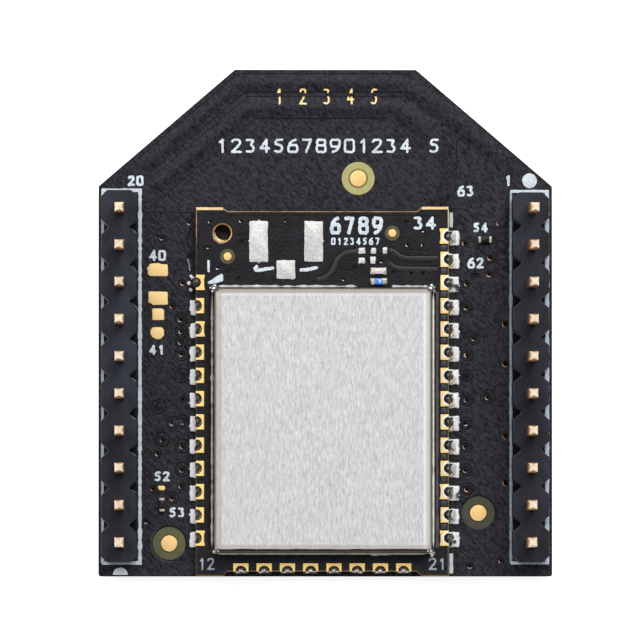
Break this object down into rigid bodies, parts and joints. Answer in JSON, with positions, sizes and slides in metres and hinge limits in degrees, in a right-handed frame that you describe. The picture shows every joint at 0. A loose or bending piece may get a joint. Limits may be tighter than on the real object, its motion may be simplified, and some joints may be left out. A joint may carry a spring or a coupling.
{
  "type": "plug-in radio module",
  "caption": "Small plug-in radio board: a six-sided carrier with a pin strip down each long edge and a shielded half-hole radio board soldered between them.",
  "frame": {"origin": "middle of the module's outline in plan, at the level of the pin tails on the back", "axes": "+Z from the back towards the pin tips, +Y towards the narrow aerial end, +X across the two pin rows to the right-hand row as seen from the pin side"},
  "size_m": [0.0244, 0.0272, 0.0076],
  "materials": {
    "black_board": "satin black lacquer over glass-fibre laminate",
    "header_plastic": "moulded, slightly glossy",
    "gold_pin": "thin gold plating on brass",
    "gold_plate": "matte gold on copper",
    "solder": "bright grey solder",
    "tinned_copper": "matte tinned",
    "tinned_steel": "matte tinned sheet",
    "pale_ceramic": "fired, matte",
    "blue_ceramic": "glazed blue",
    "black_ceramic": "fired, matte black",
    "black_epoxy": "moulded epoxy"
  },
  "bodies": {
    "root": {"carrier_board": "black_board", "carrier_contact_lands": "solder", "carrier_gold_lands": "gold_plate", "carrier_targets": "gold_plate", "clock_crystal": "tinned_steel", "contact_solder_bottom": "solder", "contact_solder_left": "solder", "contact_solder_right": "solder", "decoupling_capacitors": "pale_ceramic", "edge_contacts": "gold_plate", "filter_parts": "pale_ceramic", "header_strip_left": "header_plastic", "header_strip_right": "header_plastic", "link_resistor_left": "black_ceramic", "link_resistor_right": "black_ceramic", "main_crystal": "tinned_steel", "matching_capacitor": "pale_ceramic", "matching_inductor": "blue_ceramic", "matching_lands": "tinned_copper", "pin_01": "gold_pin", "pin_02": "gold_pin", "pin_03": "gold_pin", "pin_04": "gold_pin", "pin_05": "gold_pin", "pin_06": "gold_pin", "pin_07": "gold_pin", "pin_08": "gold_pin", "pin_09": "gold_pin", "pin_10": "gold_pin", "pin_11": "gold_pin", "pin_12": "gold_pin", "pin_13": "gold_pin", "pin_14": "gold_pin", "pin_15": "gold_pin", "pin_16": "gold_pin", "pin_17": "gold_pin", "pin_18": "gold_pin", "pin_19": "gold_pin", "pin_20": "gold_pin", "plated_hole": "gold_plate", "power_inductor": "black_ceramic", "radio_board": "black_board", "radio_chip": "black_epoxy", "radio_targets": "gold_plate", "shield_can": "tinned_steel", "shield_solder": "solder", "socket_lands": "tinned_copper", "tail_solder_left": "solder", "tail_solder_right": "solder"}
  },
  "joints": []
}
